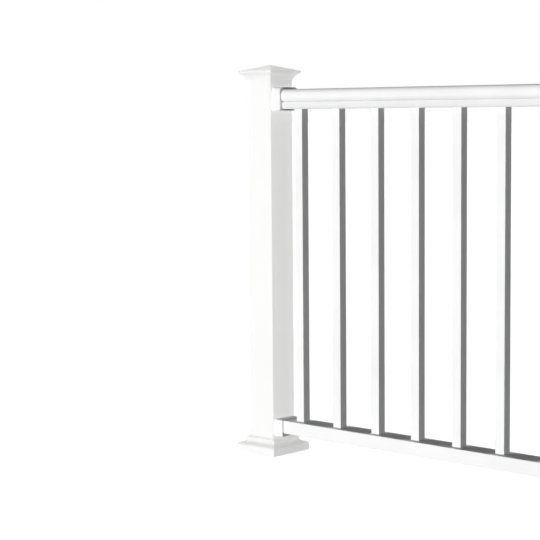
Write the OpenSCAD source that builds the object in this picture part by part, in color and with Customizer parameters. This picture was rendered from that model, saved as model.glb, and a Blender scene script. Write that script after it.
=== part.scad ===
// White powder-coated aluminium deck railing, 36 in high: two bays between three posts.
// Millimetres. Origin: centre of the underside of the first post's base plate, on the deck.
// +X runs along the railing, +Y across it, +Z up. The deck is at z = 0.

/* [Bays] */
// Clear length of a bay, from post face to post face
bay_clear = 1826.5; // [1200:0.1:2400]
// Height of the top rail's upper side above the deck
rail_height = 914.4; // [800:0.1:1100]

/* [Posts] */
// Outside width of the square post tube
post_w = 78.5; // [76:0.1:86]
// Wall of the post tube
post_wall = 3.2; // [2:0.1:5]
// Outer corner radius of the post tube
post_corner_r = 1.2; // [1:0.1:6]

/* [Base plates] */
// Side of the square base plate
plate_w = 120; // [114:0.5:122]
// Thickness of the base plate
plate_t = 9.5; // [6:0.1:14]
// Spacing of the anchor holes, centre to centre
anchor_pitch = 97; // [95:0.1:99]
// Diameter of the anchor holes
anchor_d = 10.5; // [8:0.1:12]

/* [Base skirts] */
// Side of the lower tier of the skirt
skirt_w = 133; // [131:0.5:136]
// Wall of the skirt casting
skirt_wall = 3; // [2:0.1:4]
// Height of the lower tier's upright face and its rounded edge
skirt_tier_h = 22; // [18:0.5:23]
// Radius of the lower tier's rounded edge
skirt_edge_r = 8; // [5:0.5:8.5]
// Side of the square upper tier
skirt_neck_w = 95; // [92:0.5:96]
// Fall of the ledge on the lower tier, in degrees
skirt_fall = 18; // [12:1:20]
// Radius of the cove between the ledge and the upper tier
skirt_cove_r = 10; // [6:0.5:11.5]
// Height of the upper tier's top
skirt_top_z = 39; // [38:0.5:44]
// Bevel round the upper tier's top
skirt_bevel = 3.5; // [1:0.1:4]

/* [Post caps] */
// Side of the cap at its eaves
cap_w = 111; // [104:0.5:120]
// Height of the eaves above the top rail's upper side
cap_rise = 46.6; // [40:0.1:60]
// Rise of the pyramid above the eaves
cap_pyramid_h = 15; // [10:0.5:30]
// Height of the rounded fascia, from the eaves line down to the seat
cap_fascia_h = 7.5; // [6:0.1:10]
// Height of the cove under the fascia
cap_cove_h = 15; // [12:0.5:18]
// Angle at which the cove leaves the fascia's underside
cap_soffit_angle = 25; // [15:1:40]
// Radius of the cove
cap_cove_r = 24; // [20:0.5:40]
// Thickness of the cap's lower lip, round the post
cap_lip = 1.2; // [0.8:0.1:2]
// Thickness of the cap's roof
cap_roof = 4; // [3:0.1:5]

/* [Top rail] */
// Width of the rounded cover
cover_w = 57; // [54:0.5:60]
// Height of the rounded cover
cover_h = 32; // [29:0.5:33]
// Radius of the cover's upper shoulders
cover_shoulder_r = 12; // [8:0.5:14]
// Radius of the cover's sides below the shoulders, which curve in to the channel
cover_side_r = 26; // [24:0.5:27]
// Wall of the cover
cover_wall = 2; // [1.6:0.1:2.4]
// Greatest width of the channel under the cover
channel_w = 47.5; // [47:0.5:50]
// Height of the channel that shows under the cover
channel_h = 17; // [16:0.5:20]
// Depth below the cover at which the channel is widest
channel_belly = 8; // [7.5:0.5:9]
// Radius of the channel's sides, which curve in towards its web
channel_side_r = 12.5; // [12.5:0.5:16]
// Wall of the channel
channel_wall = 2.2; // [1.8:0.1:2.6]
// Height of the channel's two spring legs inside the cover
leg_h = 9; // [8:0.5:12]
// Distance over the outsides of the two spring legs
leg_span = 33; // [31.5:0.5:35]
// How far the catch on each leg reaches over the cover's lip
catch_reach = 1.4; // [1:0.1:1.8]

/* [Bottom rail] */
// Width of the bottom rail
bottom_w = 57; // [54:0.5:60]
// Height of the bottom rail
bottom_h = 33; // [28:0.5:38]
// Wall of the bottom rail
bottom_wall = 2.2; // [1.8:0.1:3]
// Height of the bottom rail's underside above the deck
bottom_gap = 54; // [52:0.5:80]

/* [Balusters] */
// Outside width of a square baluster
baluster_w = 24; // [20:0.5:25.4]
// Wall of a baluster
baluster_wall = 1.4; // [1.2:0.1:2]
// Corner radius of a baluster
baluster_corner_r = 1.6; // [1.5:0.1:3]
// Spacing of the balusters, centre to centre
baluster_pitch = 121; // [100:0.5:124]
// Least clear distance from a post to the nearest baluster
baluster_end_gap = 45; // [40:1:60]
// How far a baluster reaches up past the channel's web
baluster_tenon = 16; // [10:0.5:24]

/* [Rail brackets] */
// Width of the brackets
bracket_w = 66.5; // [66:0.5:72]
// Length of the brackets along the rail
bracket_l = 25; // [18:0.5:40]
// Thickness of the plate against the post
bracket_plate_t = 4; // [3:0.1:6]
// Thickness of the top bracket over the rail
top_bracket_over = 5; // [4:0.1:8]
// Thickness of the top bracket under the rail
top_bracket_under = 4; // [2:0.1:6]
// Thickness of the bottom bracket over the rail
bottom_bracket_over = 1.5; // [1:0.1:5]
// Thickness of the bottom bracket under the rail
bottom_bracket_under = 8.5; // [5:0.1:12]
// Corner radius of the brackets
bracket_r = 2; // [1:0.1:3]
// Upper corner radius of the top brackets
top_bracket_shoulder_r = 11; // [3:0.5:14]

/* [Clearances] */
// Slip fit round the post, in the cap and in the skirt
post_fit = 0.3; // [0.1:0.1:0.6]
// Slip fit round the rails, in the brackets
rail_fit = 0.3; // [0.1:0.1:0.6]
// Slip fit round the balusters, in the routed holes
baluster_fit = 0.3; // [0.1:0.1:0.6]
// Gap between the spring legs and the cover's lips
snap_fit = 0.3; // [0.1:0.1:0.6]
// Gap from a rail's end to the bracket's plate
rail_end_gap = 0.8; // [0.2:0.1:0.9]

/* [Hidden] */
$fn = 64;
// How far a cut runs past the solid it cuts
cut_past = 1;

post_pitch = bay_clear + post_w;

cap_eave_z = rail_height + cap_rise;
cap_seat_z = cap_eave_z - cap_fascia_h;
cap_lip_z = cap_seat_z - cap_cove_h;
cap_roof_angle = atan(2 * cap_pyramid_h / cap_w);
cap_nose_r = cap_fascia_h / (1 + 1 / tan(45 + cap_roof_angle / 2));
cap_nose = [cap_w / 2 - cap_nose_r, cap_seat_z + cap_nose_r];

cover_z = rail_height - cover_h;
channel_z = cover_z - channel_h;
lip_z = cover_z + cover_wall;
slot_w = leg_span + 2 * snap_fit;

bottom_rail_top_z = bottom_gap + bottom_h;
rail_inset = bracket_plate_t + rail_end_gap;
rail_length = bay_clear - 2 * rail_inset;

baluster_hole_w = baluster_w + 2 * baluster_fit;
baluster_foot_z = bottom_gap + bottom_wall;
baluster_head_z = channel_z + channel_wall + baluster_tenon;
baluster_count = 1 + floor((bay_clear - 2 * baluster_end_gap - baluster_w) / baluster_pitch);
baluster_first_x = (bay_clear - (baluster_count - 1) * baluster_pitch) / 2;

// Colour of the posts, plates, skirts and caps
post_white = "#f4f4f2";
// Colour of the rails, balusters and brackets
panel_white = "#ececea";

// Centre line of a post, counted from 1
function post_x(i) = (i - 1) * post_pitch;

// Face of the post at the left end of a bay, counted from 1
function bay_x(i) = post_x(i) + post_w / 2;

// Centre of an arc of radius r from a to b, on the left of the way there
function arc_centre(a, b, r) =
    let (d = b - a, l = norm(d), h = sqrt(r * r - l * l / 4))
    (a + b) / 2 + [-d[1], d[0]] * h / l;

// Square with true rounded corners, centred
module rounded_square(w, r) {
    square([w, w - 2 * r], center = true);
    square([w - 2 * r, w], center = true);
    for (sx = [-1, 1], sy = [-1, 1]) {
        translate([sx * (w / 2 - r), sy * (w / 2 - r)]) circle(r);
    }
}

// Section from height z0 to z1, centred on y = 0, with its own radius at the foot and the head
module section(w, z0, z1, r_foot, r_head) {
    translate([-w / 2, z0 + r_foot]) square([w, z1 - z0 - r_foot - r_head]);
    translate([r_head - w / 2, z0 + r_foot]) square([w - 2 * r_head, z1 - z0 - r_foot]);
    translate([r_foot - w / 2, z0]) square([w - 2 * r_foot, z1 - z0 - r_head]);
    for (s = [-1, 1]) {
        translate([s * (w / 2 - r_head), z1 - r_head]) circle(r_head);
        if (r_foot > 0) translate([s * (w / 2 - r_foot), z0 + r_foot]) circle(r_foot);
    }
}

// Carries a section in the YZ plane along X, from x = 0 to x = l
module along_x(l) {
    rotate([90, 0, 90]) linear_extrude(l) children();
}

// Square solid whose four sides all have the same section, mitred at the corners; the parts of the
// section are carried along one by one
module four_sided(reach) {
    intersection() {
        rotate([90, 0, 0]) for (i = [0:$children - 1]) linear_extrude(reach, center = true) children(i);
        rotate([90, 0, 90]) for (i = [0:$children - 1]) linear_extrude(reach, center = true) children(i);
    }
}

// Base plate with four anchor holes
module base_plate() {
    color(post_white) difference() {
        linear_extrude(plate_t) square(plate_w, center = true);
        for (sx = [-1, 1], sy = [-1, 1]) {
            translate([sx * anchor_pitch / 2, sy * anchor_pitch / 2, -cut_past])
                cylinder(h = plate_t + 2 * cut_past, d = anchor_d);
        }
    }
}

// Square post tube, standing on its base plate
module post() {
    color(post_white) translate([0, 0, plate_t]) linear_extrude(cap_seat_z - plate_t) difference() {
        rounded_square(post_w, post_corner_r);
        square(post_w - 2 * post_wall, center = true);
    }
}

// Section of the skirt's collar, with its bevel, coves and the ledges down to the lower tier
module skirt_collar_section() {
    neck = skirt_neck_w / 2;
    up_slope = [sin(skirt_fall), cos(skirt_fall)];
    foot = [skirt_w / 2 - skirt_edge_r, skirt_tier_h - skirt_edge_r] + skirt_edge_r * up_slope;
    head_x = neck + skirt_cove_r * (1 - sin(skirt_fall));
    head = [head_x, foot[1] + (foot[0] - head_x) * tan(skirt_fall)];
    cove = head + skirt_cove_r * up_slope;
    difference() {
        polygon([
            [-foot[0], 0], [foot[0], 0], foot, head, [neck, cove[1]],
            [neck, skirt_top_z - skirt_bevel], [neck - skirt_bevel, skirt_top_z],
            [skirt_bevel - neck, skirt_top_z], [-neck, skirt_top_z - skirt_bevel],
            [-neck, cove[1]], [-head[0], head[1]], [-foot[0], foot[1]]
        ]);
        for (s = [-1, 1]) translate([s * cove[0], cove[1]]) circle(skirt_cove_r);
    }
}

// Hollow under the skirt, over the base plate
module skirt_hollow() {
    cavity_w = skirt_w - 2 * skirt_wall;
    translate([0, 0, -cut_past]) linear_extrude(skirt_tier_h - skirt_wall + cut_past)
        square(cavity_w, center = true);
}

// Two-tier cover round the foot of a post
module base_skirt() {
    color(post_white) difference() {
        four_sided(2 * skirt_w) {
            section(skirt_w, 0, skirt_tier_h, 0, skirt_edge_r);
            skirt_collar_section();
        }
        skirt_hollow();
        translate([0, 0, -cut_past]) linear_extrude(skirt_top_z + 2 * cut_past)
            rounded_square(post_w + 2 * post_fit, post_corner_r);
    }
}

// Section of the cap's pyramid and of the cove down to the post
module cap_core_section() {
    lip = post_w / 2 + post_fit + cap_lip;
    roof_foot = cap_nose + cap_nose_r * [sin(cap_roof_angle), cos(cap_roof_angle)];
    soffit = cap_nose + cap_nose_r * [sin(cap_soffit_angle), -cos(cap_soffit_angle)];
    cove = arc_centre(soffit, [lip, cap_lip_z], cap_cove_r);
    difference() {
        polygon([
            [0, cap_eave_z + cap_pyramid_h], roof_foot, cap_nose, soffit, [lip, cap_lip_z],
            [-lip, cap_lip_z], [-soffit[0], soffit[1]], [-cap_nose[0], cap_nose[1]],
            [-roof_foot[0], roof_foot[1]]
        ]);
        for (s = [-1, 1]) translate([s * cove[0], cove[1]]) circle(cap_cove_r);
    }
}

// Section of the cap's fascia, rounded over its whole height
module cap_nose_section() {
    for (s = [-1, 1]) translate([s * cap_nose[0], cap_nose[1]]) circle(cap_nose_r);
}

// Hollow under the cap's roof, inside the post's walls
module cap_hollow_section() {
    inner = post_w / 2 - post_wall;
    roof_z = cap_eave_z + cap_pyramid_h - cap_roof;
    polygon([
        [0, roof_z], [inner, roof_z - inner * cap_pyramid_h / (cap_w / 2)],
        [inner, cap_seat_z - cut_past], [-inner, cap_seat_z - cut_past],
        [-inner, roof_z - inner * cap_pyramid_h / (cap_w / 2)]
    ]);
}

// Cast cap that slips over the post and rests on its end
module post_cap() {
    color(post_white) difference() {
        four_sided(2 * cap_w) {
            cap_core_section();
            cap_nose_section();
        }
        four_sided(2 * cap_w) cap_hollow_section();
        translate([0, 0, cap_lip_z - cut_past]) linear_extrude(cap_seat_z - cap_lip_z + cut_past)
            rounded_square(post_w + 2 * post_fit, post_corner_r);
    }
}

// Section between z0 and z1 whose two sides are arcs of radius r, widest at height belly_z
module bulged_section(w, z0, z1, belly_z, r) {
    intersection() {
        union() {
            translate([w / 2 - r, belly_z]) circle(r);
            translate([r - w / 2, belly_z]) circle(r);
            translate([r - w / 2, belly_z - r]) square([w - 2 * r, 2 * r]);
        }
        translate([-w / 2, z0]) square([w, z1 - z0]);
    }
}

// Outline of the top rail's cover, grown all round by a clearance
module cover_outline(grow) {
    w = cover_w + 2 * grow;
    intersection() {
        section(w, cover_z - grow, rail_height + grow, 0, cover_shoulder_r + grow);
        bulged_section(w, cover_z - grow, rail_height + grow, rail_height - cover_shoulder_r,
            cover_side_r + grow);
    }
}

// Outline of the top rail's channel, grown all round by a clearance
module channel_outline(grow) {
    bulged_section(channel_w + 2 * grow, channel_z - grow, cover_z, cover_z - channel_belly,
        channel_side_r + grow);
}

// Rounded cover that snaps over the channel
module top_rail_cover() {
    color(panel_white) along_x(rail_length) difference() {
        cover_outline(0);
        cover_outline(-cover_wall);
        translate([-slot_w / 2, cover_z - cut_past]) square([slot_w, cover_h / 2]);
    }
}

// One spring leg of the channel with its catch, on the +Y side
module spring_leg() {
    catch_z = lip_z + snap_fit;
    translate([leg_span / 2 - channel_wall, cover_z - channel_wall]) square([channel_wall, leg_h + channel_wall]);
    polygon([
        [leg_span / 2 - channel_wall / 2, catch_z], [leg_span / 2 + catch_reach, catch_z],
        [leg_span / 2, cover_z + leg_h], [leg_span / 2 - channel_wall / 2, cover_z + leg_h]
    ]);
}

// Section of the channel: web, walls, shelves and spring legs
module channel_section() {
    difference() {
        channel_outline(0);
        intersection() {
            channel_outline(-channel_wall);
            translate([-channel_w / 2, channel_z]) square([channel_w, channel_h - channel_wall]);
        }
        translate([channel_wall - leg_span / 2, channel_z + channel_wall])
            square([leg_span - 2 * channel_wall, channel_h]);
    }
    spring_leg();
    mirror([1, 0]) spring_leg();
}

// Places its children at each baluster of a bay, measured from the post face
module at_balusters() {
    for (k = [0 : baluster_count - 1]) {
        translate([baluster_first_x + k * baluster_pitch, 0, 0]) children();
    }
}

// Channel that holds the balusters' upper ends in routed holes
module top_rail_channel() {
    color(panel_white) difference() {
        along_x(rail_length) channel_section();
        translate([-rail_inset, 0, channel_z - cut_past]) at_balusters()
            linear_extrude(channel_wall + 2 * cut_past) square(baluster_hole_w, center = true);
    }
}

// Box rail that holds the balusters' lower ends in routed holes
module bottom_rail() {
    color(panel_white) difference() {
        along_x(rail_length) difference() {
            section(bottom_w, bottom_gap, bottom_rail_top_z, bracket_r, bracket_r);
            translate([-bottom_w / 2 + bottom_wall, bottom_gap + bottom_wall])
                square([bottom_w - 2 * bottom_wall, bottom_h - 2 * bottom_wall]);
        }
        translate([-rail_inset, 0, bottom_rail_top_z - bottom_wall - cut_past]) at_balusters()
            linear_extrude(bottom_wall + 2 * cut_past) square(baluster_hole_w, center = true);
    }
}

// Row of square tube balusters
module balusters() {
    color(panel_white) at_balusters() translate([0, 0, baluster_foot_z])
        linear_extrude(baluster_head_z - baluster_foot_z) difference() {
            rounded_square(baluster_w, baluster_corner_r);
            square(baluster_w - 2 * baluster_wall, center = true);
        }
}

// Collar that holds a top rail's end against the post
module top_bracket() {
    color(panel_white) difference() {
        along_x(bracket_l) section(bracket_w, channel_z - top_bracket_under, rail_height + top_bracket_over,
            bracket_r, top_bracket_shoulder_r);
        translate([bracket_plate_t, 0, 0]) along_x(bracket_l) {
            cover_outline(rail_fit);
            channel_outline(rail_fit);
        }
    }
}

// Collar that holds a bottom rail's end against the post
module bottom_bracket() {
    color(panel_white) difference() {
        along_x(bracket_l) section(bracket_w, bottom_gap - bottom_bracket_under,
            bottom_rail_top_z + bottom_bracket_over, bracket_r, bracket_r);
        translate([bracket_plate_t, 0, 0]) along_x(bracket_l) section(bottom_w + 2 * rail_fit,
            bottom_gap - rail_fit, bottom_rail_top_z + rail_fit, bracket_r, bracket_r);
    }
}

// Places a bracket at the left end of a bay
module at_left(i) {
    translate([bay_x(i), 0, 0]) children();
}

// Places a bracket at the right end of a bay, facing back
module at_right(i) {
    translate([bay_x(i) + bay_clear, 0, 0]) mirror([1, 0, 0]) children();
}

// Places a rail in a bay, inside its two brackets
module at_rail(i) {
    translate([bay_x(i) + rail_inset, 0, 0]) children();
}

translate([post_x(1), 0, 0]) base_plate();  // base_plate_1
translate([post_x(2), 0, 0]) base_plate();  // base_plate_2
translate([post_x(3), 0, 0]) base_plate();  // base_plate_3
translate([post_x(1), 0, 0]) post();  // post_1
translate([post_x(2), 0, 0]) post();  // post_2
translate([post_x(3), 0, 0]) post();  // post_3
translate([post_x(1), 0, 0]) base_skirt();  // base_skirt_1
translate([post_x(2), 0, 0]) base_skirt();  // base_skirt_2
translate([post_x(3), 0, 0]) base_skirt();  // base_skirt_3
translate([post_x(1), 0, 0]) post_cap();  // post_cap_1
translate([post_x(2), 0, 0]) post_cap();  // post_cap_2
translate([post_x(3), 0, 0]) post_cap();  // post_cap_3
at_rail(1) top_rail_cover();  // top_rail_cover_1
at_rail(2) top_rail_cover();  // top_rail_cover_2
at_rail(1) top_rail_channel();  // top_rail_channel_1
at_rail(2) top_rail_channel();  // top_rail_channel_2
at_rail(1) bottom_rail();  // bottom_rail_1
at_rail(2) bottom_rail();  // bottom_rail_2
at_left(1) balusters();  // balusters_1
at_left(2) balusters();  // balusters_2
at_left(1) top_bracket();  // top_bracket_1_left
at_right(1) top_bracket();  // top_bracket_1_right
at_left(2) top_bracket();  // top_bracket_2_left
at_right(2) top_bracket();  // top_bracket_2_right
at_left(1) bottom_bracket();  // bottom_bracket_1_left
at_right(1) bottom_bracket();  // bottom_bracket_1_right
at_left(2) bottom_bracket();  // bottom_bracket_2_left
at_right(2) bottom_bracket();  // bottom_bracket_2_right
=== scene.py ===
# %% [markdown]
# # A white powder-coated aluminium deck railing
#
# Three square posts carry two panels of square balusters between a rounded top rail and a box
# bottom rail. Tubes and castings alike lie under one thin skin of white powder coat, so what tells
# one piece from the next is mostly form: soft cast edges on caps and skirts, crisp extruded edges
# on posts and balusters, and the long swelling side of the top rail.
#
# The construction model gives every piece its place and size. Here the pieces whose edges and
# curves the light picks out are made again as fine meshes, and the others keep their solids and
# get their finish.

import bpy
import numpy as np
from mathutils import Matrix, Vector


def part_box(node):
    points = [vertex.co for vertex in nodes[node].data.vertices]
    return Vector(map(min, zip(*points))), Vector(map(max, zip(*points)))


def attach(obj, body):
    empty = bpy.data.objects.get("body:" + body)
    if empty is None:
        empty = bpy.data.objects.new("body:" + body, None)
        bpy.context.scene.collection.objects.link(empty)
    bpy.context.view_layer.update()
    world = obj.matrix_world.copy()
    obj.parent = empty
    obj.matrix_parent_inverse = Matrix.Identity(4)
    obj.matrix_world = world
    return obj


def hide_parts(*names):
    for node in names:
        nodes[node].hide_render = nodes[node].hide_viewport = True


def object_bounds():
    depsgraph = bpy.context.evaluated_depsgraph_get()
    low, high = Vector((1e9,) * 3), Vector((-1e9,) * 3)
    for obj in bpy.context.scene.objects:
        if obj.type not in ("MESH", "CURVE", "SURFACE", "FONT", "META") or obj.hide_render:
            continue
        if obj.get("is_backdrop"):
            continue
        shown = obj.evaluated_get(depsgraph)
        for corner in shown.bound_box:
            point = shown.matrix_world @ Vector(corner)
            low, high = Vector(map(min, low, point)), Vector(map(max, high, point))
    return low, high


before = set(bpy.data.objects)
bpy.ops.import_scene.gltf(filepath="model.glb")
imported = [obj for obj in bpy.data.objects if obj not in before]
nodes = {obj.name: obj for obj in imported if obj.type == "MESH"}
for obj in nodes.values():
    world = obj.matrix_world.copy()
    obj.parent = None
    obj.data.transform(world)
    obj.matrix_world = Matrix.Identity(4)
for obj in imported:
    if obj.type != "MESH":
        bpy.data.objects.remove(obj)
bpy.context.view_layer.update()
print("pieces in the construction model:", len(nodes))

# %% [markdown]
# ## The camera
#
# The railing is seen from a little below its top rail and from the right of the first post, through
# a long lens, so that the balusters stay upright and the panel runs away gently to the left. The
# camera is set from a place to stand and three angles: turn (yaw), look down (dip) and a small
# lean (roll). Building its axes from those angles keeps each number readable.

# %% Camera
MM = 0.001
LENS_MM, SENSOR_MM = 110.294, 36
SIGHT = 200             # metres that the camera sees, past the edge of the floor
EYE = Vector((2.84859, -3.03752, 0.857197))
YAW, DIP, ROLL = np.radians([43.210, 5.434, -0.487])

ahead = Vector((-np.sin(YAW) * np.cos(DIP), np.cos(YAW) * np.cos(DIP), -np.sin(DIP)))
level = Vector((np.cos(YAW), np.sin(YAW), 0))
upright = level.cross(ahead)
right = level * np.cos(ROLL) + upright * np.sin(ROLL)
up = upright * np.cos(ROLL) - level * np.sin(ROLL)
lens = bpy.data.cameras.new("view")
lens.lens, lens.sensor_width = LENS_MM, SENSOR_MM
lens.clip_end = SIGHT
camera = bpy.data.objects.new("view", lens)
turn = Matrix((right, up, -ahead)).transposed().to_4x4()
camera.matrix_world = Matrix.Translation(EYE) @ turn
bpy.context.scene.collection.objects.link(camera)
bpy.context.scene.camera = camera
print("camera looks along", [round(v, 3) for v in ahead])

# %% [markdown]
# ## Colours and nodes
#
# Colours are written as on a paint chart, as sRGB hex, and one function turns them into the linear
# light values that a renderer works with. One more small helper adds a shader node, gives it its
# settings and links it up, so that each finish below reads as a short list.

# %% Helpers for materials
def linear(hex_colour):
    """An sRGB hex colour as linear RGBA: each channel goes through the sRGB curve."""
    c = np.array([int(hex_colour[i:i + 2], 16) for i in (1, 3, 5)]) / 255
    c = np.where(c <= 0.04045, c / 12.92, ((c + 0.055) / 1.055) ** 2.4)
    return (*c.tolist(), 1.0)


def add(tree, kind, links=(), **settings):
    """Adds a node, sets its properties or inputs by name, and makes links (from, to)."""
    node = tree.nodes.new("ShaderNode" + kind)
    for key, value in settings.items():
        name = key.replace("_", " ")
        if hasattr(node, key):
            setattr(node, key, value)
        else:
            node.inputs[name].default_value = value
    for source, target in links:
        tree.links.new(source, node.inputs[target])
    return node


# %% [markdown]
# ## Powder coat
#
# Powder coat is a polyester paint blown on dry and baked. It could be a plain white shader, but a
# baked coat is never quite flat: the powder flows into a faint ripple called orange peel, the film
# is thicker in some places than in others, and on an extruded bar the drawing lines of the die
# show through along its length. A casting has no such lines, but a sandy unevenness of its own.
#
# So one recipe makes every coat here. Slow clouds shift the white and its gloss by a hair, a fine
# noise gives the peel, and for extruded bars a noise stretched along the bar gives the die lines.
# All of it reads Object coordinates, because each mesh stands in its real place in metres, and a
# pattern's scale is then one over its size in metres.

# %% Powder coat recipe
CLOUD = 160 * MM        # size of the slow shifts in film thickness
PEEL = 4 * MM           # real orange peel is 1 to 2 mm wide, drawn coarser so that it shows
DIE_LINE = 2.5 * MM     # real die lines are tenths of a millimetre apart, drawn coarser as well
DIE_LINE_LENGTH = 900 * MM
RELIEF = 0.05 * MM      # height of peel and die lines at full strength
THIN_FILM, THICK_FILM = 0.35, 0.65      # noise values where the film counts as thin and as thick
GLOSS_GAIN = 0.06       # how much smoother the coat lies where the film is thick
SHADE_FROM, SHADE_FULL = 0.3, 0.9         # upward part of a normal where painted shade starts and is full
CHALKY_SHINE = 0.01     # an outdoor polyester's pigment breaks the surface and leaves little shine


def powder_coat(name, thin, thick, rough, peel, bar_axis=None, lines=0.0, painted_shade=0.0):
    """White powder coat: polyester over aluminium, from a thin-film to a thick-film white.

    Colour = mix(thin, thick, clouds); roughness = rough, less a little where the film is thick;
    height = peel times fine noise, plus lines times noise stretched along the bar's axis. Shade is
    painted where a face looks up: colour times (1 - painted_shade * up), up from 0 at 17 degrees
    above level to 1 at 64 degrees."""
    m = bpy.data.materials.new(name)
    m.use_nodes = True
    t = m.node_tree
    coat = t.nodes["Principled BSDF"]
    place = add(t, "TexCoord")
    clouds = add(t, "TexNoise", [(place.outputs["Object"], "Vector")],
                 Scale=1 / CLOUD, Detail=3.0, Roughness=0.55)
    white = add(t, "ValToRGB", [(clouds.outputs["Fac"], "Fac")])
    ends = white.color_ramp.elements
    ends[0].position, ends[0].color = THIN_FILM, linear(thin)
    ends[1].position, ends[1].color = THICK_FILM, linear(thick)
    sheen = add(t, "MapRange", [(clouds.outputs["Fac"], "Value")],
                From_Min=THIN_FILM, From_Max=THICK_FILM, To_Min=rough, To_Max=rough - GLOSS_GAIN)
    ripple = add(t, "TexNoise", [(place.outputs["Object"], "Vector")],
                 Scale=1 / PEEL, Detail=2.0, Roughness=0.5)
    relief = add(t, "Bump", [(ripple.outputs["Fac"], "Height")], Strength=peel, Distance=RELIEF)
    if bar_axis is not None:
        stretch = [1 / DIE_LINE] * 3
        stretch[bar_axis] = 1 / DIE_LINE_LENGTH
        along = add(t, "Mapping", [(place.outputs["Object"], "Vector")], Scale=stretch)
        drawn = add(t, "TexNoise", [(along.outputs["Vector"], "Vector")],
                    Scale=1.0, Detail=2.0, Roughness=0.6)
        under = relief.outputs["Normal"]
        relief = add(t, "Bump", [(drawn.outputs["Fac"], "Height"), (under, "Normal")],
                     Strength=lines, Distance=RELIEF)
    colour = white.outputs["Color"]
    # Painted shade: faces that look up are darkened by up to the given share.
    if painted_shade:
        facing = add(t, "SeparateXYZ", [(place.outputs["Normal"], "Vector")])
        shade_ramp = add(t, "MapRange", [(facing.outputs["Z"], "Value")],
                   From_Min=SHADE_FROM, From_Max=SHADE_FULL, To_Min=1.0, To_Max=1 - painted_shade)
        shade_painted = add(t, "HueSaturation", [(colour, "Color"), (shade_ramp.outputs["Result"], "Value")])
        colour = shade_painted.outputs["Color"]
    t.links.new(colour, coat.inputs["Base Color"])
    t.links.new(sheen.outputs["Result"], coat.inputs["Roughness"])
    t.links.new(relief.outputs["Normal"], coat.inputs["Normal"])
    coat.inputs["Metallic"].default_value = 0.0
    coat.inputs["IOR"].default_value = 1.5
    coat.inputs["Specular IOR Level"].default_value = CHALKY_SHINE
    return m


X_AXIS, Z_AXIS = 0, 2
# Satin coat over an extruded tube: smooth, with lines that run up the post.
post_coat = powder_coat("satin_powder_coat_on_extruded_post",
                        "#F9F9F8", "#FBFBFA", 0.52, 0.25, Z_AXIS, 0.15)
# Satin coat over a sand casting: no lines, a rounder and stronger peel.
cast_coat = powder_coat("satin_powder_coat_on_casting", "#F9F9F8", "#FBFBFA", 0.55, 0.5)
# The same coat on the skirts, a touch greyer, and darker on whatever looks up: both painted shade.
skirt_coat = powder_coat("satin_powder_coat_on_skirt_casting",
                         "#F7F7F6", "#FAFAF9", 0.58, 0.5, painted_shade=0.14)
# Gloss coat over an extruded rail: the lines run along the rail.
rail_coat = powder_coat("gloss_powder_coat_on_extruded_rail",
                        "#F3F4F3", "#F8F9F8", 0.46, 0.25, X_AXIS, 0.25)
# The same coat, a touch greyer: painted shade on the channel, which lies under the cover.
channel_coat = powder_coat("gloss_powder_coat_with_painted_shade_on_channel",
                           "#EAEBEA", "#EFF0EF", 0.48, 0.25, X_AXIS, 0.25)
# Gloss coat over a drawn baluster tube: the lines run up the tube.
baluster_coat = powder_coat("gloss_powder_coat_on_drawn_baluster",
                            "#F3F4F3", "#F8F9F8", 0.46, 0.25, Z_AXIS, 0.25)
# Gloss coat over a small die casting: a tight, even skin with a little peel, and painted shade on
# what looks up, as on the skirts. It stays light, so that the castings are white in any light.
bracket_coat = powder_coat("gloss_powder_coat_on_die_casting",
                           "#F4F5F4", "#F8F9F8", 0.5, 0.35, painted_shade=0.14)
# Coat over a sawn plate: the thickest peel, since nobody sees it under the skirt.
plate_coat = powder_coat("satin_powder_coat_on_sawn_plate", "#F1F1EF", "#F6F6F4", 0.6, 0.7)
print("finishes:", [m.name for m in bpy.data.materials])

# %% [markdown]
# ## Finishing the solids that stay
#
# Post tubes, balusters, the bottom rail, the channel under the top rail and the base plates are
# plain extrusions with small true corner radii. Their solids already have the right shape, so each
# keeps its mesh and only takes its coat.

# %% Finish the extruded solids
COAT_OF = {"base_plate": plate_coat, "post_": post_coat, "top_rail_channel": channel_coat,
           "bottom_rail": rail_coat, "balusters": baluster_coat}


def finish_solids(start, coat):
    """Gives one coat to every solid whose name starts in the same way, and returns them."""
    solids = [o for n, o in nodes.items() if n.startswith(start) and not n.startswith("post_cap")]
    for o in solids:
        for s in o.material_slots:
            s.material = coat
    return solids


post_family, panel_family = [], []
for start, coat in COAT_OF.items():
    family = post_family if start in ("base_plate", "post_") else panel_family
    family += finish_solids(start, coat)
print("solids that keep their shape:", len(post_family) + len(panel_family))

# %% [markdown]
# ## Profiles
#
# The other pieces are all one idea: a profile, drawn once in two dimensions, is carried along a
# path. Caps and skirts carry theirs round a square, rails along a straight. The profile is made of
# arcs and straights. Beside each end of a straight sits one extra point: smooth shading blends the
# directions of neighbouring faces, and this neighbour keeps that blend to the edge itself, so the
# flat stays flat.

# %% Arcs and straights
def arc(centre, radius, start, stop, steps):
    """Points on a circle: centre plus radius times (cos a, sin a), a in degrees from start to stop."""
    a = np.radians(np.linspace(start, stop, steps + 1))
    return np.asarray(centre) + radius * np.stack([np.cos(a), np.sin(a)], axis=-1)


def straight(a, b, hold=0.8 * MM):
    """The two points a short way in from the ends of a straight from a to b."""
    a, b = np.asarray(a, float), np.asarray(b, float)
    step = (b - a) / np.linalg.norm(b - a) * hold
    return np.stack([a + step, b - step])


def turn_over(points):
    """The same points mirrored across the middle of the section and taken in reverse."""
    return points[::-1] * np.array([-1, 1])


# %% [markdown]
# ## Carrying a profile round a square
#
# A cap or skirt could be lathed with four segments, but that leaves knife-sharp corners, where a
# casting has small round ones. Instead each row of the profile becomes its own rounded square: four
# quarter circles joined by straights. Rows by columns, the points form a grid, and a grid turns
# into faces by pure counting, without a loop.

# %% Rounded squares and grids
CORNER_STEPS = 6
MOST_SLIDE = 0.6        # share of a straight that its end points may slide back along it


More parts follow.
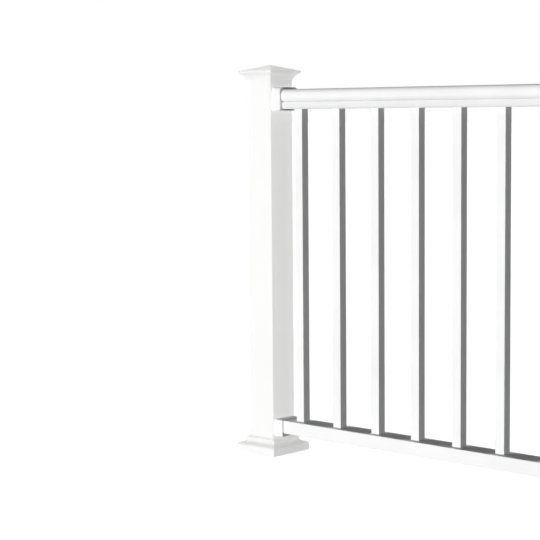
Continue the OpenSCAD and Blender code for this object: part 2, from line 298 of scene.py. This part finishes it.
def rounded_squares(half, corner, height, hold=2.5 * MM):
    """A grid of points, one rounded square for each row.

    Row k is four quarter circles of radius corner[k], centred half[k] - corner[k] out along both
    axes, at height[k]; column by column the angle goes once round. The first and last point of
    each quarter slide back along their straight, to hold its shading flat."""
    half, corner, height = (np.broadcast_to(np.asarray(v, float), np.shape(half))[:, None]
                            for v in (half, corner, height))
    steps = np.linspace(0, np.pi / 2, CORNER_STEPS + 1)
    quarter = np.concatenate([[0], steps, [np.pi / 2]])
    slide = np.concatenate([[-1], np.zeros(CORNER_STEPS + 1), [1]])
    base = np.repeat(np.arange(4) * np.pi / 2, len(quarter))
    a = base + np.tile(quarter, 4)
    slide = np.tile(slide, 4) * np.minimum(hold, MOST_SLIDE * (half - corner))
    side_x, side_y = (np.round(np.sqrt(2) * wave(base + np.pi / 4)) for wave in (np.cos, np.sin))
    x = side_x * (half - corner) + corner * np.cos(a) - slide * np.sin(a)
    y = side_y * (half - corner) + corner * np.sin(a) + slide * np.cos(a)
    return np.stack([x, y, height + 0 * x], axis=-1)


def grid_faces(rows, columns, closed_rows=False):
    """Quads between neighbouring points of a grid whose columns go round and close."""
    r = np.arange(rows if closed_rows else rows - 1)[:, None]
    c = np.arange(columns)[None, :]
    at = lambda i, j: (i % rows) * columns + j % columns
    return np.stack([at(r, c), at(r, c + 1), at(r + 1, c + 1), at(r + 1, c)], axis=-1).reshape(-1, 4)


SHARP = 50              # degrees between two faces past which their edge is not shaded smooth


def make_piece(name, grid, coat, stands_for, closed_rows=False, poles=(), lids=False, mirrored=False):
    """Puts a grid of points into a mesh as a closed piece that stands for a construction node.

    poles are one point before the first row and one after the last, closed with triangles; lids
    close both end rows with one flat face each. mirrored turns every face round."""
    rows, columns = grid.shape[:2]
    points = grid.reshape(-1, 3)
    faces = grid_faces(rows, columns, closed_rows).tolist()
    first, last = np.arange(columns), np.arange(columns) + (rows - 1) * columns
    if len(poles):
        start, end = np.full(columns, len(points)), np.full(columns, len(points) + 1)
        points = np.concatenate([points, np.asarray(poles, float)])
        faces += np.stack([start, np.roll(first, -1), first], axis=-1).tolist()
        faces += np.stack([last, np.roll(last, -1), end], axis=-1).tolist()
    if lids:
        faces += [first[::-1].tolist(), last.tolist()]
    if mirrored:
        faces = [f[::-1] for f in faces]
    mesh = bpy.data.meshes.new(name)
    mesh.from_pydata(points.tolist(), [], faces)
    mesh.polygons.foreach_set("use_smooth", np.ones(len(faces), bool))
    mesh.set_sharp_from_angle(angle=np.radians(SHARP))
    mesh.materials.append(coat)
    piece = bpy.data.objects.new(name, mesh)
    bpy.context.scene.collection.objects.link(piece)
    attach(piece, "root")
    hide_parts(stands_for)
    return piece


# %% [markdown]
# ## Post caps
#
# A cast cap closes each post. Seen from the side it is a low pyramid, a fascia rounded over its
# whole height like a bead, and a hollow cove that runs in under it to land on the post. The cove
# is what lets the eye tell the cap from the post, since both are the same white.
#
# Its profile starts at the ceiling inside, drops down the slot that the post stands in, turns
# round the lip, climbs the cove and the bead, and ends at the peak. The hips of the pyramid are
# eased a little, and less and less towards the peak, as a pattern maker's file would leave them.

# %% Cap profile
def centre_of(box):
    return (box[0] + box[1]) / 2


def box_of(name):
    return np.array([list(v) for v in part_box(name)])


post_box = box_of("post_1")
post_half = (post_box[1, 0] - post_box[0, 0]) / 2
seat_z = post_box[1, 2]
SLIP = 0.3 * MM             # room between post and casting
SLOT_CORNER = 1.4 * MM      # corner of the slot round the post
COVE_RADIUS = 24 * MM
SOFFIT = 25                 # degrees from straight down at which cove and bead meet
LIP, LIP_EDGE = 1.2 * MM, 0.35 * MM         # thickness of the lip and its small round edges
ROOF_RISE = 15 * MM         # height of the pyramid above the fascia
PEAK_HALF, PEAK_DROP = 0.5 * MM, 0.25 * MM  # the last row, just short of the peak itself
SLOT_ROWS = 7               # rows of the cap's profile that lie in the slot
CAP_CORNER, CORNER_SHARE = 1.8 * MM, 0.6    # corner in plan, and its most as a share of the row


def cap_profile(low_z, peak_z, half):
    """The cap's profile as rows of (half width, height), from the ceiling inside to the peak.

    The bead touches the roof line and the fascia line: its radius is the fascia's height divided
    by (1 + 1 / tan(45 degrees + half the roof angle)). The cove is an arc of given radius from
    the lip to the bead, on the outer side."""
    slot = post_half + SLIP
    lip = slot + LIP
    fascia = peak_z - ROOF_RISE - seat_z
    roof = np.arctan2(ROOF_RISE, half)
    bead_r = fascia / (1 + 1 / np.tan(np.pi / 4 + roof / 2))
    bead = np.array([half - bead_r, seat_z + bead_r])
    soffit = bead + bead_r * np.array([np.sin(np.radians(SOFFIT)), -np.cos(np.radians(SOFFIT))])
    foot = np.array([lip, low_z])
    chord = foot - soffit
    reach = np.sqrt(COVE_RADIUS ** 2 - (chord @ chord) / 4)
    cove = (soffit + foot) / 2 + reach * np.array([-chord[1], chord[0]]) / np.linalg.norm(chord)
    angle = lambda p: np.degrees(np.arctan2(*(p - cove)[::-1])) % 360
    eaves = bead + bead_r * np.array([np.sin(roof), np.cos(roof)])
    peak = np.array([PEAK_HALF, peak_z - PEAK_DROP])
    edge = LIP_EDGE
    return np.concatenate([
        [[slot, seat_z]], straight((slot, seat_z), (slot, low_z + edge)),
        arc((slot + edge, low_z + edge), edge, 180, 270, 3),
        arc((lip - edge, low_z + edge), edge, 270, 345, 3),
        arc(cove, COVE_RADIUS, angle(foot + (0, 2 * edge)), angle(soffit), 14)[:-1],
        arc(bead, bead_r, SOFFIT - 90, 90 - np.degrees(roof), 14),
        straight(eaves, peak, 1.2 * MM), [peak]])


def cap_corner(profile):
    """Corner radius of each row in plan: small in the slot, larger outside, shrinking to the peak."""
    half = profile[:, 0]
    wide = np.where(np.arange(len(half)) >= SLOT_ROWS, CAP_CORNER, SLOT_CORNER)
    return np.minimum(wide, CORNER_SHARE * half)


caps = []
for i in (1, 2, 3):
    box = box_of(f"post_cap_{i}")
    middle = centre_of(box)
    profile = cap_profile(box[0, 2], box[1, 2], (box[1, 0] - box[0, 0]) / 2)
    grid = rounded_squares(profile[:, 0], cap_corner(profile), profile[:, 1]) + (*middle[:2], 0)
    poles = [(*middle[:2], seat_z), (*middle[:2], box[1, 2])]
    caps.append(make_piece(f"cap_{i}", grid, cast_coat, f"post_cap_{i}", poles=poles))
post_family += caps
print("cap rows and columns:", grid.shape[:2])

# %% [markdown]
# ## Base skirts
#
# A two-piece skirt would show a seam, but this one is a single casting slipped over the post before
# the cap goes on. It hides the bolted base plate. Its outside is an upright tier with a
# generously rounded top edge, a ledge that sheds water, a cove, and a square collar with a bevel at
# its top. It is much like the cap turned over: a bead and a cove end the post at both ends.
#
# The same rounded squares carry it. Here the rows close on themselves: up the outside, over the
# bevel, down the slot round the post, and back along the hollow underneath.

# %% Skirt profile
SKIRT_CORNER = 2.2 * MM
OUTSIDE_ROWS = 38       # rows of the skirt's profile from its foot to its top, before the slot
COLLAR_ROW = 28         # the row at which the cove ends and the upright collar begins


def skirt_profile(half, top_z):
    """The skirt's closed profile as rows of (half width, height), up the outside and down inside.

    The ledge touches the nose and the cove: both meet it where their normal stands at the fall
    angle from upright, so point = centre of the nose + radius times (sin fall, cos fall)."""
    tier_z, edge_r, cove_r, fall = 22 * MM, 8 * MM, 10 * MM, np.radians(18)
    collar, bevel = 47.5 * MM, 3.5 * MM
    slot, roof_z, wall = post_half + SLIP, 17 * MM, 4.5 * MM
    foot_r, soft = 0.5 * MM, 0.8 * MM
    soft_reach = 0.33 * MM      # from the bevel's corner to its round: soft times tan 22.5 degrees
    up_slope = np.array([np.sin(fall), np.cos(fall)])
    nose = np.array([half - edge_r, tier_z - edge_r])
    ledge_foot = nose + edge_r * up_slope
    ledge_x = collar + cove_r * (1 - up_slope[0])
    ledge_head = np.array([ledge_x, ledge_foot[1] + (ledge_foot[0] - ledge_x) * np.tan(fall)])
    cove = ledge_head + cove_r * up_slope
    return np.concatenate([
        arc((half - foot_r, foot_r), foot_r, 270, 360, 2), straight((half, foot_r), (half, nose[1])),
        arc(nose, edge_r, 0, 90 - np.degrees(fall), 10), straight(ledge_foot, ledge_head),
        arc(cove, cove_r, 270 - np.degrees(fall), 180, 10),
        straight((collar, cove[1]), (collar, top_z - bevel), 0.4 * MM),
        arc((collar - soft, top_z - bevel - soft_reach), soft, 0, 45, 2),
        arc((collar - bevel - soft_reach, top_z - soft), soft, 45, 90, 2),
        straight((collar - bevel, top_z), (slot, top_z), 0.4 * MM), [[slot, top_z]],
        straight((slot, top_z), (slot, roof_z)), [[slot, roof_z]],
        straight((slot, roof_z), (half - wall, roof_z)), [[half - wall, roof_z]],
        straight((half - wall, roof_z), (half - wall, 0)), [[half - wall, 0]],
        straight((half - wall, 0), (half - foot_r, 0), 0.4 * MM)])


def skirt_corner(profile):
    """Corner radius of each row in plan: the skirt's own outside, that of the slot inside."""
    return np.where(np.arange(len(profile)) < OUTSIDE_ROWS, SKIRT_CORNER, SLOT_CORNER)


skirts = []
for i in (1, 2, 3):
    box = box_of(f"base_skirt_{i}")
    middle = centre_of(box)
    profile = skirt_profile((box[1, 0] - box[0, 0]) / 2, box[1, 2])
    grid = rounded_squares(profile[:, 0], skirt_corner(profile), profile[:, 1]) + (*middle[:2], 0)
    skirts.append(make_piece(f"skirt_{i}", grid, skirt_coat, f"base_skirt_{i}", closed_rows=True))
post_family += skirts
print("skirt rows and columns:", grid.shape[:2])
print("collar starts at", round(profile[COLLAR_ROW, 1] / MM, 1), "mm")

# %% [markdown]
# ## The top rail's cover
#
# The top rail is two extrusions. The upper one is a rounded cover that a hand can slide along, and
# it snaps over a narrower channel. Where the two meet, the cover curls in under itself, and a soft
# dark valley runs the whole length of the rail.
#
# The curl is why this piece is made again: light from the front dims steadily as a surface turns
# down, so the valley's softness is its radius. The section is one closed outline of a 2 mm wall,
# with a large shoulder above, a short upright and a deep curl below, and it is swept along X.

# %% Cover section
SHOULDER, UPRIGHT, CURL, WALL = 15 * MM, 3 * MM, 14.3 * MM, 2 * MM
SHADOW_GAP = 0.4 * MM       # the cover's lips hang this far above the channel's belly
MOUTH = 16.8 * MM           # half the slot that the channel's legs enter
LIP_BEAD, LIP_SET, LIP_NICK = 0.5 * MM, 0.2 * MM, 0.3 * MM  # round, setback and corner of a lip


def cover_side(half, low_z, top_z, grow=0.0):
    """The cover's right-hand outside, from the curl's end up to the shoulder's top.

    The curl is an arc that hangs from the upright, cut off at the cover's underside: its last
    angle is the arcsine of the height left over divided by its radius. grow moves it outward."""
    belly = top_z - SHOULDER - UPRIGHT
    turn_in = np.degrees(np.arcsin((belly - low_z) / CURL))
    return np.concatenate([
        arc((half - CURL, belly), CURL + grow, -turn_in, 0, 10),
        arc((half - SHOULDER, top_z - SHOULDER), SHOULDER + grow, 0, 90, 14)])


def cover_section(half, low_z, top_z, slot_half):
    """Closed outline of the cover: over the outside, round a lip, back along the inside.

    The inside is the outside moved in by the wall, and each side ends in a lip that turns in."""
    outer = cover_side(half, low_z, top_z)
    inner = cover_side(half, low_z, top_z, -WALL)
    inner = inner[inner[:, 1] > low_z + WALL]
    lip = np.array([[slot_half, low_z + WALL], [slot_half, low_z]])
    bead = arc((outer[0, 0] - LIP_SET, low_z + LIP_BEAD), LIP_BEAD, 270, 318, 2)
    outside = np.concatenate([bead, outer[1:]])
    inside = np.concatenate([inner[::-1], [[inner[0, 0] - LIP_NICK, low_z + WALL]], lip])
    crown = np.array([[0.0, top_z]])
    vault = np.array([[0.0, top_z - WALL]])
    return np.concatenate([outside, crown, turn_over(outside), turn_over(inside), vault, inside])


def sweep_x(section, start, stop):
    """Two rows of the section, one at each end: the point (y, z) becomes (x, y, z)."""
    x = np.array([start, stop])[:, None] + 0 * section[:, 0]
    return np.stack([x, *np.broadcast_to(section.T[:, None], (2, 2, len(section)))], axis=-1)


covers = []
for i in (1, 2):
    low, high = box_of(f"top_rail_cover_{i}")
    section = cover_section(high[1], low[2] + SHADOW_GAP, high[2], MOUTH)
    grid = sweep_x(section, low[0], high[0])
    covers.append(make_piece(f"cover_{i}", grid, rail_coat, f"top_rail_cover_{i}", lids=True))
panel_family += covers
print("cover outline points:", len(section), "length", round((high[0] - low[0]) / MM), "mm")

# %% [markdown]
# ## Brackets
#
# At each end a die-cast sleeve takes the rail: a plate against the post and a short collar round
# the rail. Die castings come out of their tool with every outer edge rounded, and that rim is what
# catches the light beside the dark slit where rail and collar part.
#
# Collar and opening are different outlines, so the sleeve is lofted between them. Both are read
# off in the same directions from the rail's middle, and point k of one then faces point k of the
# other. The rows run from the middle of the plate over the outside, round the rim, back inside to
# the plate, and close at a pole at each end.

# %% Outlines read off by direction
RIM, INNER_RIM, BACK_EDGE = 0.8 * MM, 0.5 * MM, 0.4 * MM
CHANNEL_BELLY, CHANNEL_SIDE = 8 * MM, 12.5 * MM


def box_outline(half, low_z, high_z, r_low, r_high, inset=0.0):
    """Right half of a rounded box, from its underside to its top, moved in by inset."""
    low_r, high_r = max(r_low - inset, 0.1 * MM), max(r_high - inset, 0.1 * MM)
    half, low_z, high_z = half - inset, low_z + inset, high_z - inset
    side = np.linspace(low_z + low_r, high_z - high_r, 40)[1:-1]
    under, over = np.linspace(0, half - low_r, 16)[:-1], np.linspace(half - high_r, 0, 8)[1:]
    return np.concatenate([
        np.stack([under, low_z + 0 * under], axis=-1),
        arc((half - low_r, low_z + low_r), low_r, -90, 0, 8),
        np.stack([half + 0 * side, side], axis=-1),
        arc((half - high_r, high_z - high_r), high_r, 0, 90, 20),
        np.stack([over, high_z + 0 * over], axis=-1)])


def rail_outline(cover, channel, grow):
    """Right half of the top rail: channel, groove and cover, moved out by grow."""
    belly = cover[0, 2] - CHANNEL_BELLY
    top = np.degrees(np.arcsin(CHANNEL_BELLY / CHANNEL_SIDE))
    bottom = -np.degrees(np.arcsin((belly - channel[0, 2]) / CHANNEL_SIDE))
    side = arc((channel[1, 1] - CHANNEL_SIDE, belly), CHANNEL_SIDE + grow, bottom, top, 24)
    return np.concatenate([
        [[0, channel[0, 2] - grow], [side[0, 0], channel[0, 2] - grow]], side,
        cover_side(cover[1, 1], cover[0, 2], cover[1, 2], grow), [[0, cover[1, 2] + grow]]])


def read_off(half_outline, middle_z, directions):
    """Points of a mirrored outline in the given directions from (0, middle_z).

    The distance in a direction is interpolated between the outline's own corner points."""
    d = half_outline - (0, middle_z)
    angle, reach = np.arctan2(d[:, 1], d[:, 0]), np.hypot(*d.T)
    order = np.argsort(angle)
    folded = np.arctan2(np.sin(directions), np.abs(np.cos(directions)))
    r = np.interp(folded, angle[order], reach[order])
    return np.stack([r * np.cos(directions), middle_z + r * np.sin(directions)], axis=-1)


def all_round(half_outline):
    """The whole loop from its right half: up the right side, over the top and down the left."""
    return np.concatenate([half_outline, turn_over(half_outline)[1:-1]])


# %% Loft the brackets
def sleeve_grid(outside, opening, length, plate):
    """Rows of a sleeve from the back plate over the rim and into the opening, as (s, y, z).

    s is the way out from the post. The rims are quarter circles: s = length - r + r sin a, and
    the outline moves in by r - r cos a. outside and opening give a whole loop for an inset."""
    a = np.radians(np.linspace(0, 90, 6))
    back, rim, inner = BACK_EDGE, RIM, INNER_RIM
    rows = [(0.0, outside, back), (back, outside, 0.0), (2 * back, outside, 0.0)]
    rows += [(length - 2 * rim, outside, 0.0)]
    rows += [(length - rim + rim * np.sin(v), outside, rim - rim * np.cos(v)) for v in a]
    rows += [(length - inner + inner * np.sin(v), opening, inner - inner * np.cos(v))
             for v in a[::-1]]
    rows += [(length - 2 * inner, opening, 0.0), (plate, opening, 0.0)]
    loops = np.stack([outline(move) for _, outline, move in rows])
    s = np.array([row[0] for row in rows])[:, None] + 0 * loops[..., 0]
    return np.dstack([s, loops])


def make_bracket(name, node, outside, opening, plate):
    """Makes the sleeve for a bracket node, out from the post on whichever side the post stands."""
    low, high = box_of(node)
    middle_z = (low[2] + high[2]) / 2
    loop = all_round(outside(0.0)) - (0, middle_z)
    directions = np.arctan2(loop[:, 1], loop[:, 0])
    grid = sleeve_grid(lambda move: all_round(outside(move)),
                       lambda move: read_off(opening(move), middle_z, directions),
                       high[0] - low[0], plate)
    right_hand = node.endswith("right")
    grid[..., 0] = high[0] - grid[..., 0] if right_hand else low[0] + grid[..., 0]
    face = high[0] if right_hand else low[0]
    floor_x = face - plate if right_hand else face + plate
    poles = [(face, 0, middle_z), (floor_x, 0, middle_z)]
    return make_piece(name, grid, bracket_coat, node, poles=poles, mirrored=right_hand)


PLATE = 4 * MM
FIT, LOOSE_FIT = 1.2 * MM, 1.8 * MM     # slits round the top and bottom rails, wide to show shade
SLEEVE_EDGE, SLEEVE_SHOULDER, RAIL_EDGE = 2.5 * MM, 11 * MM, 2 * MM
brackets = []
for i in (1, 2):
    cover, channel, bottom = (box_of(f"{part}_{i}")
                              for part in ("top_rail_cover", "top_rail_channel", "bottom_rail"))
    for hand in ("left", "right"):
        node = f"top_bracket_{i}_{hand}"
        low, high = box_of(node)
        outside = lambda move: box_outline(high[1], low[2], high[2], SLEEVE_EDGE, SLEEVE_SHOULDER, move)
        opening = lambda move: rail_outline(cover, channel, FIT + move)
        brackets.append(make_bracket(f"top_sleeve_{i}_{hand}", node, outside, opening, PLATE))
        node = f"bottom_bracket_{i}_{hand}"
        low, high = box_of(node)
        outside = lambda move: box_outline(high[1], low[2], high[2], SLEEVE_EDGE, SLEEVE_EDGE, move)
        opening = lambda move: box_outline(bottom[1, 1], bottom[0, 2], bottom[1, 2],
                                           RAIL_EDGE, RAIL_EDGE, -LOOSE_FIT - move)
        brackets.append(make_bracket(f"bottom_sleeve_{i}_{hand}", node, outside, opening, PLATE))
panel_family += brackets
print("brackets:", len(brackets), "points round each:", len(brackets[0].data.vertices))

# %% [markdown]
# ## Floor and backdrop
#
# The railing stands on a plain pale floor before a white surround. A bright white floor would throw
# so much light up that undersides would lose their shade. The floor therefore answers two kinds of
# ray in two ways: what the camera, a reflection or glass sees is white with the railing's shadow in
# it, and what the light bounces off is a calm grey.

# %% Floor
def seen_directly(tree):
    """One for a ray from the camera, off gloss or through glass, zero for a ray of bounced light."""
    path = add(tree, "LightPath")
    camera_ray, gloss_ray, glass_ray = (path.outputs[f"Is {kind} Ray"]
                                        for kind in ("Camera", "Glossy", "Transmission"))
    either = add(tree, "Math", [(camera_ray, 0), (gloss_ray, 1)], operation="MAXIMUM")
    return add(tree, "Math", [(either.outputs[0], 0), (glass_ray, 1)], operation="MAXIMUM")


FLOOR_SIDE = 200.0      # metres
CALM_GREY = 0.14        # what bounced light meets
SHADED_GREY, GLOW = 0.35, 0.84      # what is seen: a part that takes shadow, and a plain glow
corners = np.array([[-1, -1, 0], [1, -1, 0], [1, 1, 0], [-1, 1, 0]]) * FLOOR_SIDE / 2
sheet = bpy.data.meshes.new("floor")
sheet.from_pydata(corners.tolist(), [], [[0, 1, 2, 3]])
floor = bpy.data.objects.new("floor", sheet)
bpy.context.scene.collection.objects.link(floor)
floor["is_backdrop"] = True
paper = bpy.data.materials.new("matt_white_paper")
paper.use_nodes = True
t = paper.node_tree
t.nodes.clear()
seen = seen_directly(t)
plain = add(t, "BsdfDiffuse", Color=(CALM_GREY, CALM_GREY, CALM_GREY, 1))
faint = add(t, "BsdfDiffuse", Color=(SHADED_GREY, SHADED_GREY, SHADED_GREY, 1))
glow = add(t, "Emission", Strength=GLOW)
white = add(t, "AddShader", [(faint.outputs[0], 0), (glow.outputs[0], 1)])
mix = add(t, "MixShader", [(seen.outputs[0], 0), (plain.outputs[0], 1), (white.outputs[0], 2)])
add(t, "OutputMaterial", [(mix.outputs[0], 0)])
sheet.materials.append(paper)

# %% World
DIM, WHITE = 0.055, 1.0     # strength as light on the railing, and as the surround that is seen
studio = bpy.data.worlds.new("studio")
bpy.context.scene.world = studio
studio.use_nodes = True
t = studio.node_tree
t.nodes.clear()
seen = seen_directly(t)
dim = add(t, "Background", Color=(1, 1, 1, 1), Strength=DIM)
bright = add(t, "Background", Color=(1, 1, 1, 1), Strength=WHITE)
mix = add(t, "MixShader", [(seen.outputs[0], 0), (dim.outputs[0], 1), (bright.outputs[0], 2)])
add(t, "OutputWorld", [(mix.outputs[0], 0)])

# %% [markdown]
# ## Light
#
# White on white needs its lights kept apart. The panels have one flat wall of light in front and
# its twin behind, which leave their sides and tops dark, and that is what draws each baluster. The
# posts have a weaker lamp in front and behind, and stand in a soft tent as well: two half-spheres
# of light, one from each end of the railing, which add up to the same light from every direction.
#
# Light linking sends each lamp to its own group of pieces. It is a device of this studio: under one
# common light the balusters' sides would be about as pale as the posts'. The tent's blockers leave
# the floor out, so that a low lamp isn't cut off by it.

# %% Lamps
def group(name, objects):
    """A collection that is not in the scene, for light linking only."""
    c = bpy.data.collections.new(name)
    for o in objects:
        c.objects.link(o)
    return c


def soft_lamp(name, towards, strength, spread, lit, blockers):
    """A sun whose energy of pi times strength renders a facing white surface at that strength.

    Multiple importance sampling is off: it also looks for the lamp along bounced rays, and those
    stop at the floor even where the floor is no blocker, so a low lamp would lose light."""
    lamp = bpy.data.lights.new(name, "SUN")
    lamp.energy = np.pi * strength
    lamp.angle = np.radians(spread)
    lamp.cycles.use_multiple_importance_sampling = False
    o = bpy.data.objects.new(name, lamp)
    o.rotation_euler = Vector(towards).to_track_quat("-Z", "Y").to_euler()
    bpy.context.scene.collection.objects.link(o)
    o.light_linking.receiver_collection = lit
    o.light_linking.blocker_collection = blockers
    return o


panels = group("panels", panel_family)
posts = group("posts", post_family + [floor])
bare_posts = group("bare_posts", post_family)
railing = group("railing", panel_family + post_family)
FRONT, BACK = (-0.12, 1, 0.02), (0.12, -1, 0.02)    # the way the light travels
FRONT_LEFT, SQUARE_BACK = (0.2, 0.97, -0.14), (0, -1, 0)
PANEL_WALL, POST_FRONT, POST_BACK, TENT = 0.96, 0.43, 0.42, 0.53
SOFT, HALF_SPHERE = 8, 180      # spread of a lamp in degrees
soft_lamp("panel_front", FRONT, PANEL_WALL, SOFT, panels, railing)
soft_lamp("post_front", FRONT_LEFT, POST_FRONT, SOFT, posts, railing)
soft_lamp("panel_back", BACK, PANEL_WALL, SOFT, panels, railing)
soft_lamp("post_back", SQUARE_BACK, POST_BACK, SOFT, posts, railing)
soft_lamp("tent_right", (-1, 0, 0), TENT, HALF_SPHERE, posts, bare_posts)
soft_lamp("tent_left", (1, 0, 0), TENT, HALF_SPHERE, posts, bare_posts)

# %% Sizes and end
bpy.context.scene.view_settings.view_transform = "Standard"
low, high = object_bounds()
print("size in mm:", [round((b - a) / MM, 1) for a, b in zip(low, high)])
